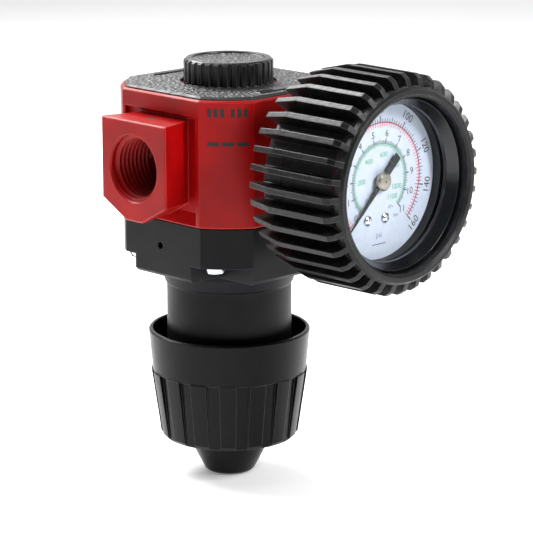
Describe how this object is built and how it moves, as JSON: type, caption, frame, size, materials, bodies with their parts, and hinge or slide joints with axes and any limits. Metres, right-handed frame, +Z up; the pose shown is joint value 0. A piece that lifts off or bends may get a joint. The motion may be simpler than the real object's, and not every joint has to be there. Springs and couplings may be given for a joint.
{
  "type": "air pressure regulator",
  "caption": "Compressed-air pressure regulator: red cast body with side pipe ports, bonnet with ribbed adjusting knob below, fluted cap on top, and a dial gauge in a ribbed rubber boot.",
  "frame": {"origin": "where the pipe axis through both ports crosses the axis of the adjusting knob and valve", "axes": "+X along the ports from inlet to outlet, -Y out of the gauge dial, +Z up towards the service cap, knob below"},
  "size_m": [0.0654, 0.0875, 0.1116],
  "materials": {
    "red_paint": "semi-gloss red paint over die-cast zinc alloy",
    "black_plastic": "satin black glass-filled nylon",
    "knob_plastic": "semi-gloss black acetal",
    "black_rubber": "moulded black rubber",
    "seal_rubber": "nitrile rubber",
    "brass": "turned brass",
    "steel": "plain steel",
    "zinc_screw": "bright zinc-plated steel",
    "alu": "plain aluminium",
    "case_black": "black enamelled steel",
    "bezel_black": "gloss black snap ring",
    "dial_white": "white enamelled aluminium with printed scales",
    "pointer_black": "satin black",
    "lens": "clear acrylic window",
    "hub_metal": "nickelled brass"
  },
  "bodies": {
    "regulator": {"body": "red_paint", "top_plate": "black_plastic", "valve_cap": "black_plastic", "cap_o_ring": "seal_rubber", "rear_port_plug": "zinc_screw", "valve_seat": "brass", "valve_spring": "steel", "diaphragm": "seal_rubber", "bonnet": "black_plastic", "bonnet_screws": "zinc_screw", "thrust_washer": "brass", "main_spring": "steel", "gauge_stem": "brass", "gauge_seal": "seal_rubber", "gauge_case": "case_black", "gauge_lens": "lens", "lens_gasket": "seal_rubber", "gauge_bezel": "bezel_black", "gauge_boot": "black_rubber", "dial_plate": "dial_white", "dial_screws": "zinc_screw", "movement_rear_plate": "brass", "movement_front_plate": "brass", "movement_pillars": "brass", "bourdon_tube": "brass", "tube_tip": "brass", "hairspring": "steel"},
    "screw": {"adjusting_screw": "steel", "retaining_clip": "steel"},
    "knob": {"knob": "knob_plastic", "knob_nose": "knob_plastic"},
    "nut": {"spring_nut": "brass"},
    "valve": {"valve_stem": "steel", "valve_poppet": "brass", "poppet_seal": "seal_rubber", "diaphragm_plate_upper": "alu", "diaphragm_plate_lower": "alu", "relief_seat": "brass"},
    "sector": {"sector_gear": "brass", "sector_shaft": "steel"},
    "pointer": {"pointer": "pointer_black", "pointer_hub": "hub_metal", "pointer_arbor": "brass"},
    "link": {"link": "brass"}
  },
  "joints": [
    {"name": "knob_turn", "type": "hinge", "parent": "regulator", "child": "screw", "pos_m": [0, 0, -0.0585], "axis": [0, 0, 1], "range_deg": [0, 1800]},
    {"name": "knob_pull", "type": "slide", "parent": "screw", "child": "knob", "axis": [0, 0, -1], "range_m": [0, 0.003]},
    {"name": "nut_rise", "type": "slide", "parent": "regulator", "child": "nut", "axis": [0, 0, 1], "range_m": [0, 0.0063], "deforming": ["main_spring"]},
    {"name": "valve_open", "type": "slide", "parent": "regulator", "child": "valve", "axis": [0, 0, 1], "range_m": [0, 0.0012], "stiffness_N_per_m": 800, "springref_m": -0.002, "deforming": ["valve_spring", "diaphragm"]},
    {"name": "sector_turn", "type": "hinge", "parent": "regulator", "child": "sector", "pos_m": [-0.00636, -0.0445, -0.00636], "axis": [0, -1, 0], "range_deg": [0, 30], "deforming": ["bourdon_tube", "tube_tip"]},
    {"name": "pointer_turn", "type": "hinge", "parent": "regulator", "child": "pointer", "pos_m": [0, -0.0532, 0], "axis": [0, 1, 0], "range_deg": [0, 270.5], "deforming": ["hairspring"]},
    {"name": "link_turn", "type": "hinge", "parent": "sector", "child": "link", "pos_m": [-0.00805, -0.0435, -0.00274], "axis": [0, 1, 0], "range_deg": [0, 30.5]}
  ],
  "couplings": [
    {"joint": "nut_rise", "follows": "knob_turn", "m_per_rad": 0.00019894},
    {"joint": "pointer_turn", "follows": "sector_turn", "ratio": 9},
    {"joint": "link_turn", "follows": "sector_turn", "ratio": 1}
  ]
}
